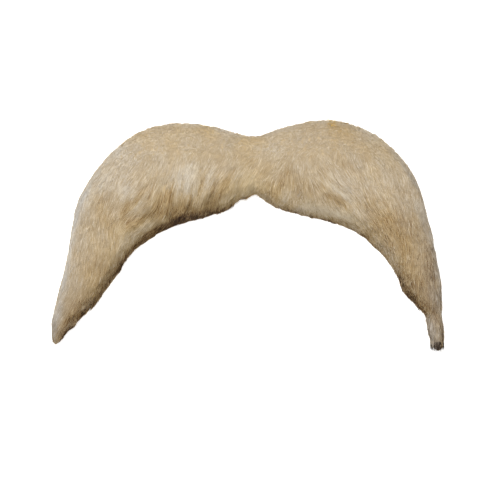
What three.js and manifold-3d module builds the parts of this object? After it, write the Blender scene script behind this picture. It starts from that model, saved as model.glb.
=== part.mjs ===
// A fake moustache: long-pile fur cloth cut to a drooping crescent, lying on its back with the pile up.
// Millimetres. +Z is up out of the pile, +Y runs up towards the nose and +X to the right as it is looked at.
// The origin is the middle of the tape's back face, under the middle of the nose.
import * as THREE from "three";
import { mergeVertices } from "three/addons/utils/BufferGeometryUtils.js";
import Module from "manifold-3d";

const wasm = await Module();
wasm.setup();

// Thicknesses from the back face upwards, and the air that is left between two pieces
const TAPE_THICKNESS = 0.6;
const CLOTH_THICKNESS = 1.2;
const CLEARANCE = 0.3;

// The adhesive tape across the middle of the back
const TAPE_LENGTH = 56;
const TAPE_WIDTH = 12;
const TAPE_CORNER = 2.5;

// The cloth's cut edge lies inside the pile's outline by these amounts, and it ends short of both tips.
const UPPER_INSET = 0.5;
const LOWER_INSET = 3;
const NARROW_INSET_SHARE = 0.28;
const CLOTH_FIRST_SLICE = 5;
const CLOTH_LAST_SLICE = 55;

// The cloth leaves the floor this far beside the tape, and takes this length to rise over it.
const DRAPE_START = 2;
const DRAPE_LENGTH = 12;

// The room for the cloth in the pile is open along the upper edge, and a part of a slice longer at each end.
const ROOM_OPENING = 4;
const ROOM_OVERRUN = 0.25;

// The pile's cross section: the height of its edges over what carries them, and how full its dome is
const UPPER_EDGE_RISE = 1.6;
const LOWER_EDGE_RISE = 1.2;
const DOME_FULLNESS = 2.5;
const DOME_ROUNDNESS = 0.6;
const TIP_ROUND = 1.5;

// Facets: slices along the pile for each rib, strips across its dome, and stations and sides of a lock
const SLICES_PER_RIB = 3;
const STRIPS_ACROSS = 13;
const LOCK_STEPS = 5;
const LOCK_SIDES = 6;

// One row for each rib across the moustache, from the left tip to the right tip: its ends on the upper and
// the lower edge of the pile, and the height of the pile's crown over the cloth.
const RIBS = [
  { upper: [-71.5, -62.6], lower: [-68.8, -63.4], crown: 2.4 },
  { upper: [-71.5, -55.4], lower: [-65.6, -59.6], crown: 4.2 },
  { upper: [-69.5, -45.7], lower: [-57.9, -51.5], crown: 5.9 },
  { upper: [-66.6, -34.6], lower: [-51.3, -43.3], crown: 7.2 },
  { upper: [-64.5, -21.8], lower: [-46.6, -36.5], crown: 8.1 },
  { upper: [-60.3, -8.6], lower: [-41.4, -30.1], crown: 8.9 },
  { upper: [-52.5, 2.5], lower: [-35.8, -26.0], crown: 9.5 },
  { upper: [-40.7, 11.8], lower: [-27.8, -21.8], crown: 9.8 },
  { upper: [-27.5, 15.0], lower: [-17.8, -19.1], crown: 9.5 },
  { upper: [-13.2, 13.6], lower: [-8.3, -15.2], crown: 8.5 },
  { upper: [-0.4, 10.2], lower: [0.4, -10.2], crown: 7.0 },
  { upper: [11.8, 13.7], lower: [7.9, -15.3], crown: 8.1 },
  { upper: [25.4, 16.2], lower: [18.6, -18.5], crown: 9.0 },
  { upper: [39.3, 13.2], lower: [29.6, -21.1], crown: 9.5 },
  { upper: [50.4, 5.5], lower: [38.9, -25.4], crown: 9.4 },
  { upper: [57.5, -3.9], lower: [46.4, -32.5], crown: 8.8 },
  { upper: [61.6, -15.7], lower: [51.4, -39.8], crown: 7.9 },
  { upper: [64.3, -28.6], lower: [54.6, -46.1], crown: 6.9 },
  { upper: [67.1, -43.2], lower: [59.6, -51.6], crown: 5.5 },
  { upper: [67.3, -52.1], lower: [61.7, -54.9], crown: 4.0 },
  { upper: [68.2, -58.6], lower: [62.7, -59.5], crown: 4.2 },
  { upper: [67.9, -64.8], lower: [64.0, -65.0], crown: 2.6 },
];
const LAST_RIB = RIBS.length - 1;
// The rib at the middle, where the lower edge has its notch
const NOTCH_RIB = 10;

// How the combed pile lies at places on the moustache: degrees from straight down, positive to the right
const LAY = [
  { at: [-65, -50], lean: -24 },
  { at: [-62, -30], lean: -14 },
  { at: [-55, -38], lean: -22 },
  { at: [-55, -4], lean: -32 },
  { at: [-40, -7], lean: -36 },
  { at: [-40, -18], lean: -48 },
  { at: [-28, -3], lean: -19 },
  { at: [-19, -17], lean: -36 },
  { at: [-12, -3], lean: -32 },
  { at: [2, 1], lean: -31 },
  { at: [10, -10], lean: -9 },
  { at: [17, -3], lean: 9 },
  { at: [24, -4], lean: 34 },
  { at: [31, -8], lean: 46 },
  { at: [42, -8], lean: 37 },
  { at: [53, -14], lean: 26 },
  { at: [60, -38], lean: 21 },
  { at: [64, -56], lean: 6 },
];

// Dips in the combed surface, each a trough between two places: under the long locks of the left half, beside
// the one proud lock of the right half, and where the right tip is pinched.
const DIPS = [
  { from: [-60, -16], to: [-45, -16], width: 2.6, depth: 0.7 },
  { from: [-43, -17], to: [-33, -20], width: 2.2, depth: 1.1 },
  { from: [-33, -9], to: [-22, -14], width: 2.4, depth: 1.2 },
  { from: [-20, -13], to: [-12, -12], width: 2.4, depth: 0.9 },
  { from: [10, -1], to: [15, -9], width: 2.8, depth: 0.7 },
  { from: [25, -8], to: [33, -15], width: 2.2, depth: 1.3 },
  { from: [31, 1], to: [36, -2], width: 2.0, depth: 0.6 },
  { from: [60, -54], to: [67, -52], width: 1.8, depth: 0.8 },
];

// One row for each tier of locks, from the upper edge to the fringe along the lower one: where a lock's root
// lies across the rib, how long and wide it is, how far its tip stands off the pile, and the ribs it spans.
const TIERS = [
  { root: 0.12, length: 19, width: 4.0, lift: 0.1, first: 3.4, last: 17.6, count: 18 },
  { root: 0.32, length: 20, width: 4.2, lift: 0.35, first: 3.0, last: 18.0, count: 19 },
  { root: 0.52, length: 16, width: 3.8, lift: 0.25, first: 2.4, last: 18.6, count: 21 },
  { root: 0.74, length: 10, width: 3.2, lift: 0.05, first: 1.6, last: 19.4, count: 24 },
];

// A lock's section is a low ridge over a keel that is buried in the pile. Its root and its tip are sunk, it is
// out of the pile by a share of its length, and it keeps a margin to the upper edge.
const LOCK_FLATNESS = 0.3;
const LOCK_BELLY = 0.8;
const KEEL_DEPTH = 1.6;
const KEEL_SHARE = 0.95;
const ROOT_DEPTH = 0.9;
const ROOT_SHARE = 0.4;
const TIP_DEPTH = 0.15;
const EDGE_MARGIN = 3.2;
const FARTHEST_ACROSS = 0.98;

// How unevenly the locks of a tier are spaced along it, and their roots across it
const SPACING_SCATTER = 0.8;
const ROOT_SCATTER = 0.08;

const furMaterial = new THREE.MeshStandardMaterial({ color: 0xbeab8e, roughness: 0.85, metalness: 0 });
const clothMaterial = new THREE.MeshStandardMaterial({ color: 0xcdb890, roughness: 0.95, metalness: 0 });
const tapeMaterial = new THREE.MeshStandardMaterial({ color: 0xe8e2d2, roughness: 0.45, metalness: 0 });

const lerp = THREE.MathUtils.lerp;

function splineThrough(points) {
  return new THREE.CatmullRomCurve3(points.map(([x, y]) => new THREE.Vector3(x, y, 0)));
}

const upperEdge = splineThrough(RIBS.map((rib) => rib.upper));
const lowerLeft = splineThrough(RIBS.slice(0, NOTCH_RIB + 1).map((rib) => rib.lower));
const lowerRight = splineThrough(RIBS.slice(NOTCH_RIB).map((rib) => rib.lower));
const crowns = splineThrough(RIBS.map((rib, i) => [i, rib.crown]));

// The rib at any place along the moustache, counted in ribs from the left tip.
function ribAt(r) {
  const upper = upperEdge.getPoint(r / LAST_RIB);
  const lower =
    r <= NOTCH_RIB
      ? lowerLeft.getPoint(r / NOTCH_RIB)
      : lowerRight.getPoint((r - NOTCH_RIB) / (LAST_RIB - NOTCH_RIB));
  return { upper, lower, crown: crowns.getPoint(r / LAST_RIB).y, width: upper.distanceTo(lower) };
}

// The height of the cloth's underside: over the tape it is raised, and beside it the cloth drapes to z 0.
function seatAt(rib) {
  const beside = Math.abs((rib.upper.x + rib.lower.x) / 2) - TAPE_LENGTH / 2;
  const lowered = THREE.MathUtils.smoothstep(beside, DRAPE_START, DRAPE_START + DRAPE_LENGTH);
  return (TAPE_THICKNESS + CLEARANCE) * (1 - lowered);
}

// How far the combed surface dips at a place.
function dipAt(place) {
  let depth = 0;
  const nearest = new THREE.Vector3();
  for (const dip of DIPS) {
    const trough = new THREE.Line3(new THREE.Vector3(...dip.from, 0), new THREE.Vector3(...dip.to, 0));
    const away = trough.closestPointToPoint(place, true, nearest).distanceTo(place);
    depth += dip.depth * Math.exp(-((away / dip.width) ** 2));
  }
  return depth;
}

// The pile's upper surface, v running from 0 at the upper edge to 1 at the lower edge.
function pilePoint(r, v) {
  const rib = ribAt(r);
  const onCloth = seatAt(rib) + CLOTH_THICKNESS + CLEARANCE;
  const inside = THREE.MathUtils.clamp(v, 0, 1);
  const edge = lerp(onCloth + UPPER_EDGE_RISE, LOWER_EDGE_RISE, inside);
  const dome = (1 - Math.abs(2 * inside - 1) ** DOME_FULLNESS) ** DOME_ROUNDNESS;
  const point = rib.upper.clone().lerp(rib.lower, v);
  return point.setZ(lerp(edge, onCloth + rib.crown - dipAt(point), dome));
}

// A closed geometry through rings of equally many points, each end closed to a point of its own.
// The rings run clockwise for someone looking along the loft.
function loft(rings, firstPole, lastPole) {
  const sides = rings[0].length;
  const points = [...rings.flat(), firstPole, lastPole];
  const first = points.length - 2;
  const last = points.length - 1;
  const index = [];
  for (let k = 0; k < sides; k++) {
    const next = (k + 1) % sides;
    for (let i = 0; i + 1 < rings.length; i++) {
      const near = i * sides;
      const far = near + sides;
      index.push(near + k, near + next, far + k);
      index.push(near + next, far + next, far + k);
    }
    index.push(first, next, k);
    const end = (rings.length - 1) * sides;
    index.push(last, end + k, end + next);
  }
  return new THREE.BufferGeometry().setFromPoints(points).setIndex(index);
}

function middleOf(ring) {
  const sum = ring.reduce((total, point) => total.add(point), new THREE.Vector3());
  return sum.divideScalar(ring.length);
}

// The dense mass of the pile, flat on z 0 below and domed above.
function pileBody() {
  const rings = [];
  const slices = LAST_RIB * SLICES_PER_RIB;
  for (let i = 0; i <= slices; i++) {
    const r = i / SLICES_PER_RIB;
    const ring = [];
    for (let k = 0; k <= STRIPS_ACROSS; k++) ring.push(pilePoint(r, k / STRIPS_ACROSS));
    ring.push(ring.at(-1).clone().setZ(0), ring[0].clone().setZ(0));
    rings.push(ring);
  }
  const firstPole = middleOf(rings[0]);
  const lastPole = middleOf(rings.at(-1));
  firstPole.y -= TIP_ROUND;
  lastPole.y -= TIP_ROUND;
  return loft(rings, firstPole, lastPole);
}

// A sheet that follows the ribs, with its edges inside the pile's outline by the two insets.
function sheetAlongRibs({ upperInset, lowerInset, overrun, bottom, thickness }) {
  const rings = [];
  const slices = [];
  for (let i = CLOTH_FIRST_SLICE; i <= CLOTH_LAST_SLICE; i++) slices.push(i);
  if (overrun > 0) {
    slices.unshift(CLOTH_FIRST_SLICE - overrun);
    slices.push(CLOTH_LAST_SLICE + overrun);
  }
  for (const slice of slices) {
    const rib = ribAt(slice / SLICES_PER_RIB);
    const hem = Math.min(LOWER_INSET, NARROW_INSET_SHARE * rib.width) - LOWER_INSET + lowerInset;
    const near = rib.upper.clone().lerp(rib.lower, upperInset / rib.width);
    const far = rib.upper.clone().lerp(rib.lower, 1 - hem / rib.width);
    const low = bottom(rib);
    const high = seatAt(rib) + thickness;
    rings.push([
      near.clone().setZ(high),
      far.clone().setZ(high),
      far.clone().setZ(low),
      near.clone().setZ(low),
    ]);
  }
  return loft(rings, middleOf(rings[0]), middleOf(rings.at(-1)));
}

// The lean of the pile at a place, in radians, as a mean of the rows of LAY weighted by nearness.
function leanAt(place) {
  let total = 0;
  let weights = 0;
  for (const row of LAY) {
    const away = (place.x - row.at[0]) ** 2 + (place.y - row.at[1]) ** 2;
    const weight = 1 / (away + 1) ** 1.5;
    total += weight * row.lean;
    weights += weight;
  }
  return THREE.MathUtils.degToRad(total / weights);
}

// Moves a place on the pile, given as rib and share across, by one step along the lay.
function alongLay({ r, v }, step) {
  const small = 0.02;
  const here = pilePoint(r, v);
  const byRib = pilePoint(r + small, v).sub(here).divideScalar(small);
  const across = pilePoint(r, v + small).sub(here).divideScalar(small);
  const lean = leanAt(here);
  const x = Math.sin(lean) * step;
  const y = -Math.cos(lean) * step;
  const area = byRib.x * across.y - byRib.y * across.x;
  const nearest = Math.min(0.4, EDGE_MARGIN / Math.hypot(across.x, across.y));
  return {
    r: THREE.MathUtils.clamp(r + (x * across.y - y * across.x) / area, small, LAST_RIB - small),
    v: THREE.MathUtils.clamp(v + (byRib.x * y - byRib.y * x) / area, nearest, FARTHEST_ACROSS),
  };
}

// A repeatable number from 0 to 1 for each lock.
function scatter(n) {
  return (n * 0.6180339887) % 1;
}

// One lock: a flat tapering lance whose root is sunk in the pile and whose tip stands off it.
function lock(place, { length, width, lift }) {
  const path = [];
  let here = place;
  for (let i = 0; i <= LOCK_STEPS; i++) {
    const s = i / LOCK_STEPS;
    const point = pilePoint(here.r, here.v);
    point.z += i === LOCK_STEPS ? -TIP_DEPTH : lerp(-ROOT_DEPTH, lift, Math.min(1, s / ROOT_SHARE));
    path.push(point);
    here = alongLay(here, length / LOCK_STEPS);
  }
  const up = new THREE.Vector3(0, 0, 1);
  const rings = [];
  for (let i = 1; i < LOCK_STEPS; i++) {
    const s = i / LOCK_STEPS;
    const along = path[i + 1].clone().sub(path[i - 1]).normalize();
    const side = along.clone().cross(up).normalize();
    const normal = side.clone().cross(along);
    const half = (width / 2) * Math.sin(Math.PI * s ** LOCK_BELLY);
    const ring = [];
    for (let k = 0; k < LOCK_SIDES; k++) {
      const turn = (-2 * Math.PI * k) / LOCK_SIDES;
      const buried = Math.sin(turn) < -0.1;
      const reach = buried ? KEEL_SHARE * half * Math.sign(Math.cos(turn)) : half * Math.cos(turn);
      const rise = buried ? -KEEL_DEPTH - lift : half * LOCK_FLATNESS * Math.sin(turn);
      const point = path[i].clone().addScaledVector(side, reach);
      ring.push(point.addScaledVector(normal, rise));
    }
    rings.push(ring);
  }
  return loft(rings, path[0], path.at(-1));
}

function solidOf(geometry) {
  const bare = new THREE.BufferGeometry();
  bare.setAttribute("position", geometry.getAttribute("position"));
  bare.setIndex(geometry.index);
  const merged = mergeVertices(bare, 1e-4);
  return new wasm.Manifold(
    new wasm.Mesh({
      numProp: 3,
      vertProperties: merged.attributes.position.array,
      triVerts: new Uint32Array(merged.index.array),
    }),
  );
}

function geometryOf(solid) {
  const mesh = solid.getMesh();
  const geometry = new THREE.BufferGeometry();
  geometry.setAttribute("position", new THREE.BufferAttribute(new Float32Array(mesh.vertProperties), 3));
  geometry.setIndex(new THREE.BufferAttribute(new Uint32Array(mesh.triVerts), 1));
  const facets = geometry.toNonIndexed();
  facets.computeVertexNormals();
  return facets;
}

// The pile: its dense mass and the tiers of locks joined to it, less the room for the cloth.
function furPile() {
  let solid = solidOf(pileBody());
  let n = 1;
  for (const tier of TIERS) {
    for (let i = 0; i < tier.count; i++) {
      const r = lerp(tier.first, tier.last, (i + SPACING_SCATTER * scatter(n)) / tier.count);
      const v = tier.root + ROOT_SCATTER * (scatter(n * 2) - 0.5);
      solid = solid.add(solidOf(lock({ r, v }, tier)));
      n += 1;
    }
  }
  const room = sheetAlongRibs({
    upperInset: -ROOM_OPENING,
    lowerInset: LOWER_INSET - CLEARANCE,
    overrun: ROOM_OVERRUN,
    bottom: () => -1,
    thickness: CLOTH_THICKNESS + CLEARANCE,
  });
  const below = new THREE.BoxGeometry(400, 400, 20).translate(0, 0, -10);
  return geometryOf(solid.subtract(solidOf(room)).subtract(solidOf(below)));
}

function backingCloth() {
  return sheetAlongRibs({
    upperInset: UPPER_INSET,
    lowerInset: LOWER_INSET,
    overrun: 0,
    bottom: seatAt,
    thickness: CLOTH_THICKNESS,
  });
}

function adhesiveTape() {
  const x = TAPE_LENGTH / 2;
  const y = TAPE_WIDTH / 2;
  const c = TAPE_CORNER;
  const outline = new THREE.Shape();
  outline.absarc(x - c, y - c, c, 0, Math.PI / 2);
  outline.absarc(c - x, y - c, c, Math.PI / 2, Math.PI);
  outline.absarc(c - x, c - y, c, Math.PI, 1.5 * Math.PI);
  outline.absarc(x - c, c - y, c, 1.5 * Math.PI, 2 * Math.PI);
  return new THREE.ExtrudeGeometry(outline, { depth: TAPE_THICKNESS, bevelEnabled: false, curveSegments: 6 });
}

function piece(name, geometry, material) {
  const mesh = new THREE.Mesh(geometry, material);
  mesh.name = name;
  return mesh;
}

const moustache = new THREE.Group();
moustache.add(piece("fur_pile", furPile(), furMaterial));
moustache.add(piece("backing_cloth", backingCloth(), clothMaterial));
moustache.add(piece("adhesive_tape", adhesiveTape(), tapeMaterial));

export default moustache;
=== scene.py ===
"""A fake moustache of combed long-pile fur cloth, laid on its back with the pile up."""

import math
from collections import namedtuple

import bmesh
import bpy
import numpy as np
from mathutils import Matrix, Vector
from mathutils.bvhtree import BVHTree
from mathutils.kdtree import KDTree


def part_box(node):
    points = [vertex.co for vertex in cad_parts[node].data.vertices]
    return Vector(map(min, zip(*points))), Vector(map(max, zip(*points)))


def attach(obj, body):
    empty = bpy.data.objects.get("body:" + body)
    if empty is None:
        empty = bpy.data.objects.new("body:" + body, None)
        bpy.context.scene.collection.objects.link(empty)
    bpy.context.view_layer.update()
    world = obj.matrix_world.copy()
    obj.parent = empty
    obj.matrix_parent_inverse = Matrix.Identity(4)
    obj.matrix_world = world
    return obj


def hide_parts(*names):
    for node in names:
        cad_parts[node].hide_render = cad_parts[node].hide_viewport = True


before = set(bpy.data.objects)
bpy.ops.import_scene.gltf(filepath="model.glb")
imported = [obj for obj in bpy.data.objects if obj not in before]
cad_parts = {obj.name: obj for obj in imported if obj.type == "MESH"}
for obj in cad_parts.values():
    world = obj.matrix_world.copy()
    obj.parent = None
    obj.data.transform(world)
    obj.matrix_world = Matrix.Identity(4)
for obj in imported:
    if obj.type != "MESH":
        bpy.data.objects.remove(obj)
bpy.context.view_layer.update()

bl_info = {
    "name": "Fake moustache",
    "version": (1, 0, 0),
    "blender": (4, 5, 0),
    "location": "View3D > Sidebar > Moustache",
    "description": "Dresses the moustache's solids with combed hair, knit ground cloth and tape",
    "category": "Object",
}

MM = 0.001
BODY = "root"

# The photograph's frame: its side in pixels, the size of a pixel, and the pixel of the part's origin
FRAME_PX = 500
PIXEL = 0.3571 * MM
ORIGIN_PX = (253, 165)

# How the combed pile lies at places on the moustache, in millimetres: degrees from straight down, positive
# to the right
Lay = namedtuple("Lay", "x y lean")

LAY = [Lay(*row) for row in (
    (-65, -50, -24),
    (-61, -30, -6),
    (-60, -20, -6),
    (-56, -38, -14),
    (-52, -26, -2),
    (-52, -10, -16),
    (-54, -3, -32),
    (-43, -1, -26),
    (-40, -7, -34),
    (-40, -18, -48),
    (-28, -3, -17),
    (-28, -11, -8),
    (-20, -6, -12),
    (-19, -17, -8),
    (-13, -6, -26),
    (-10, -14, -12),
    (-12, -2, -32),
    (2, 1, -31),
    (8, -2, -38),
    (10, -10, -9),
    (17, 6, -16),
    (17, -3, 9),
    (24, -4, 34),
    (31, -8, 46),
    (34, 6, 16),
    (42, -6, 24),
    (42, -17, 34),
    (52, -10, 8),
    (60, -18, 12),
    (60, -34, 6),
    (64, -56, 6),
)]

# A parting where the hair shows its dark depth, darkened further with painted shade, a raised lock painted
# lighter as if it caught the lamp, or a stretch of warmer or cooler hair: a line between two points in
# millimetres, how far the change spreads from it, what it adds to the hair's tone and warmth, and how many
# millimetres it lifts the hair
Shade = namedtuple("Shade", "x y to_x to_y spread tone warm lift", defaults=(0, 0))

SHADES = [Shade(*row) for row in (
    # Left tip
    (-68, -60.5, -60.5, -53, 2.2, -0.14, 0.1, -0.5),
    (-65.5, -54.5, -61, -54, 1.3, -0.26, 0.4),
    (-63, -51, -59, -49, 1.6, -0.26, 0.2),
    (-68, -61, -65.5, -58.5, 0.9, -0.1, 0.1, 0.2),
    (-68, -58, -64.5, -55.5, 1.6, -0.14),
    (-68, -53, -61, -45, 3.5, -0.08),
    (-70.5, -63, -68, -62, 1, -0.16, 0, 0.3),
    (-59.5, -52.5, -57, -49.5, 1.2, 0, -0.3, 0.3),
    (-71.5, -55.5, -71.5, -63, 1.4, -0.08, -2, 0.3),
    (-70, -58, -69, -61, 1.6, -0.12),
    # Left leg
    (-54.5, -15.5, -52.5, -12, 2, -0.14, 0.15),
    (-50.5, -11, -49, -14.5, 2, -0.16, 0.15),
    (-60.5, -14.5, -54.5, -4.5, 3.5, 0.05, -0.1),
    (-52, -6, -48, -10.5, 2.2, 0.12, -0.1, 0.1),
    (-60.5, -12.5, -59, -9, 2, 0.12, -0.2),
    (-64, -18, -68, -43, 1.8, 0.18, -0.55),
    (-57.5, -2.5, -52.5, 2.5, 2.2, 0, -0.25),
    (-68.5, -47.5, -70.5, -55.5, 2, 0.14, -0.5),
    (-63, -17, -62, -12, 2, 0, -0.2, 0.5),
    (-56.5, -48, -47.5, -35.5, 2, -0.08, 0.05),
    (-50, -29, -50.5, -36, 2, 0, 0.3),
    (-57.5, -42, -54.5, -46, 2, 0, 0.25),
    (-56.5, -22.5, -50.5, -18.5, 3.2, -0.09, 0.1),
    (-59, -18, -57.5, -20, 1.6, -0.1),
    (-58, -32, -54, -41, 3, -0.12, 0.1),
    (-51, -21, -48, -26, 2.2, -0.1, 0.2),
    (-53.5, -35.5, -50.5, -39.5, 2, -0.1),
    (-48, -38, -45, -31.5, 0.9, -0.4, 0.1, 0.5),
    (-47, -36, -42, -30.5, 1.4, 0, 0.1, -0.4),
    (-42.5, -29.5, -39, -27, 0.7, -0.27, 0.2, 0.2),
    # Left partings
    (-38, -9, -41.5, -13.5, 0.9, -0.24, 0.4),
    (-35.5, -8, -38, -14, 1.5, -0.26, 0.1),
    (-31.5, -18, -34, -20, 1.2, -0.3, 0.2),
    (-42.5, -19, -44.5, -22, 1.3, -0.3, 0.2),
    (-44.5, -14.5, -45.5, -20.5, 1.2, -0.24, 0.35, -0.1),
    (-30, -10.5, -34.5, -15.5, 1.4, -0.3, 0.4, -0.1),
    (-32.5, -16, -40, -19.5, 1.3, -0.26, 0.3, -0.1),
    (-33, -15.5, -34.5, -18.5, 1, -0.24, 0.3),
    (-40.5, -20.5, -43, -22, 1, -0.2, 0.3, -0.1),
    (-28.5, -9, -29.5, -14.5, 0.7, -0.35, 0.4, -0.1),
    (-27, -14, -30.5, -17.5, 1.5, -0.28, 0.3, -0.1),
    (-25.5, -9.5, -25.5, -12.5, 0.4, -0.25, 0.4),
    (-24.5, -12, -25, -15.5, 0.8, -0.3, 0.4, -0.1),
    (-22, -12, -23, -15, 0.8, -0.32, 0.4, -0.1),
    (-28, -16.5, -17.5, -15.5, 2.4, -0.18, 0.3, -0.1),
    (-18, -5.5, -19, -10.5, 0.7, -0.16, 0.4),
    (-16.5, -11.5, -16.5, -15, 1.3, -0.22, 0.3, -0.1),
    (-13.5, -7.5, -14.5, -14.5, 1.3, -0.22, 0.35, -0.1),
    (-11, 2, -14, -11, 1, -0.1),
    (-7, -2.5, -13, -14, 1.2, -0.22, 0.25),
    # Left locks
    (-47, 4, -43, -5, 4, 0.06, -0.1),
    (-40.5, 6, -38, 4.5, 1.8, 0, -0.25),
    (-44.5, -4, -43.5, -8, 1.6, 0, -0.2),
    (-45.5, -10, -46.5, -13.5, 1.2, 0.2, -0.2, 0.1),
    (-45, 2, -42, 0, 2.5, 0.06),
    (-40, -0.5, -37.5, -4, 2, -0.08),
    (-44.5, -14, -46, -17.5, 1.6, -0.1, 0.1),
    (-37, -10, -41, -15.5, 1, 0.14, -0.1, 0.1),
    (-37, -2, -35.5, -6, 1.6, 0.1),
    (-36, 4, -25, -4, 5, 0.05, -0.05),
    (-24, 9, -20, 2, 3, 0.05),
    (-26, -3, -27, -12, 1, 0.11, -0.05, 0.1),
    (-24.5, -4.5, -14.5, -2, 4, 0.06, -0.15),
    (-23, -2.5, -24, -11.5, 1.2, 0.13, 0, 0.2),
    (-20.5, -1, -20.5, -12, 0.9, 0.11, 0, 0.2),
    (-15, -3.5, -18, -12.5, 0.9, 0.11, -0.05, 0.1),
    # Left lower edge, darkened along its rim with painted shade
    (-46, -24, -45, -29, 2, 0.27, 0.1),
    (-41, -23, -31.5, -19, 1.2, 0.2, 0, 0.1),
    (-39.5, -25.5, -34, -23, 1, -0.24, 0.3),
    (-34, -23, -27, -20, 1.8, -0.22, 0.35),
    (-35.5, -25.5, -28, -22, 0.9, -0.3, 0.3, 0.1),
    (-27.5, -19.5, -21, -18, 2, -0.28, 0.5),
    (-27, -21, -17, -18.5, 0.9, -0.36, 0.2, 0.1),
    (-15.5, -17.5, -10.5, -16.5, 1, -0.4, 0.2, 0.2),
    (-12, -14.5, -6, -12.5, 1.8, 0.22, 0.3),
    (-10.5, -17, -6, -13.5, 0.9, -0.36, 0.2, 0.1),
    (-11, -17, -7, -15, 1.2, 0, 0, 0.7),
    (-6.5, -14.5, -3.5, -12.5, 1, 0, 0, -0.7),
    (-4, -12.5, -0.5, -11, 0.9, -0.36, 0.1),
    (-1.5, -11.5, 0, -10.5, 0.8, 0, 0, 0.7),
    # Top and middle
    (-29.5, 14.5, -19, 14, 1, 0.12),
    (-29, 13, -27.5, 7, 2.5, 0, 0.3),
    (-26.5, 14, -26, 11, 1.2, 0, 0.3),
    (-15.5, 13, -14, 11.5, 1.2, 0, 0.3),
    (-46, 8, -38, 12, 2, 0, 0.25),
    (-37, 10, -35, -2, 3.5, 0, 0.2),
    (-20.5, 3, -9, 3, 2.5, 0, 0.25),
    (-14, 12.5, -2, 9.5, 1.2, 0.14),
    (-19, 13, -15.5, 10.5, 2.5, 0, 0.4),
    (-7.5, 2, -5.5, -1, 2.2, 0.1),
    (-5.5, -7, 0, -7.5, 3, 0.17, 0.2),
    (-11, -9, -4.5, -9.5, 2, 0, 0.3),
    (2, -8.5, 13, -9.5, 2, 0, 0.3),
    (-2.5, 8, 3, 8, 1.8, 0, 0.3),
    (-3, 10, 0, -3, 3, 0, 0.3),
    (-0.5, -5.5, -0.5, -9, 1.3, 0.38, 0.1),
    (3, -9.5, 6, -11.5, 0.9, -0.14),
    (3, -3.5, 8, -3, 1.2, -0.1, 0.1),
    (7, 5.5, 9.5, -1, 2.4, 0.09, 0, 0.1),
    (20.5, 12, 34, 12, 4.5, -0.1, 0.05),
    (20, 15, 36, 14, 1, 0.1),
    (27.5, 15.5, 29, 5, 2, 0, 0.3),
    (33, 12, 41, 2, 3, 0, 0.2),
    (38, 12.5, 45.5, 8, 1.8, 0.12, 0.1),
    (47, 3, 49.5, -4.5, 2.5, 0, 0.2),
    # Right wing
    (7, -12.5, 12, -2.5, 2, -0.18, 0.2),
    (10.5, -14.5, 12, -10, 1.6, 0.16, -0.15),
    (10.5, -8, 29.5, -11, 2.2, -0.07, 0.05),
    (15.5, -4.5, 16.5, -9.5, 1.8, -0.1, -0.15),
    (20.5, -8, 22, -12.5, 1.4, -0.1),
    (25.5, -6.5, 34, -12.5, 0.8, 0.32, -0.15, 0.1),
    (26, -11, 33, -14.5, 1.1, -0.2, 0.25),
    (31, -6, 34.5, -10.5, 3, 0.06, -0.25),
    (31, 1, 37, -3.5, 1.6, -0.16, 0.1),
    (34.5, -14.5, 37.5, -17.5, 1.6, 0.1, -0.2),
    (38, -4, 45.5, -6, 2.5, 0.08),
    (42, 5, 46, 0, 2.5, 0.06),
    (39.5, 5.5, 41, 3.5, 2, -0.14, 0.1),
    (41, -12, 43, -22, 1.8, -0.12, 0.15),
    (47.5, -28, 54.5, -33, 2, -0.06, 0.1),
    (48, -20.5, 54.5, -27, 5, -0.11, 0.25),
    (54, -19, 60, -24, 3, -0.08),
    (54.5, 0.5, 59, -13, 1.2, -0.1),
    (58, -14, 59.5, -19, 1.6, 0.15, -0.2),
    (61, -19.5, 63.5, -28, 1.5, 0, -0.3),
    # Right lower edge, with a paler band and a rim darkened with painted shade
    (18, -15.5, 30, -18, 1.6, 0.52, -0.1),
    (18.5, -13, 19, -15.5, 0.3, 0.3),
    (26, -15.5, 26.5, -18, 0.4, 0.25),
    (35, -18, 38, -20.5, 0.5, 0.15),
    (9, -16, 20, -19, 0.9, -0.36, 0.1, 0.1),
    (20, -19.5, 28, -20.5, 0.9, -0.6, 0.1, 0.2),
    (32.5, -18.5, 39, -23, 2.2, 0.26, 0, 0.1),
    (37.5, -25, 43, -29.5, 1, -0.4, 0.1, 0.3),
    (42.5, -27, 49.5, -34, 1.7, 0.24, -0.2),
    (44, -30, 48, -34, 0.7, -0.26, -0.1, 0.1),
    (48, -34.5, 51, -38, 1.2, 0.15, -0.6),
    (51, -39.5, 53, -42.5, 1, -0.15, -0.3),
    # Right leg
    (49.5, -21.5, 61.5, -48, 9, -0.14),
    (52.5, -39, 59.5, -43, 3, -0.14, 0.1),
    (53, -34.5, 57, -38, 2, 0.06, 0.2),
    (52.5, -42.5, 58, -50, 1.4, -0.24, 0.3, 0.5),
    (57.5, -48, 62, -52, 1.6, -0.2, 0.25),
    (58, -51.5, 61, -54.5, 1.3, -0.2, 0.2, -0.6),
    (59, -47, 63, -49, 1.8, -0.1),
    (62, -29.5, 63, -40.5, 2, -0.2, 0.1),
    (62.5, -43, 65, -50.5, 2, -0.04, -0.25),
    (63.5, -30.5, 65, -39.5, 1.6, -0.12, -0.1),
    (66, -36, 66.5, -41.5, 1, 0.1),
    (66, -27, 67.5, -46, 1.5, 0, -0.5),
    (67, -42.5, 67, -48, 0.8, -0.3, 0, 0.2),
    # Right tip
    (61.5, -53.5, 66.5, -53, 1.2, -0.06, 0, -0.4),
    (62.5, -59, 63.5, -63, 0.9, -0.32, -0.7, 0.2),
    (63, -56, 65, -61, 1.8, -0.07, -0.6),
    (62, -57, 63.5, -64, 1.2, 0, -1.5),
    (63.5, -65, 64, -66.5, 1, -0.1, -0.3, -0.5),
    (64.5, -51, 65.5, -55, 2, -0.16),
    (65, -65.5, 67, -65.5, 1.5, -0.6, -0.6, 0.3),
    (67.5, -57, 67.5, -63, 1, -0.4, -0.2, 0.1),
    (68, -54.5, 68, -57.5, 1, 0, 0, -0.3),
)]

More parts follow.
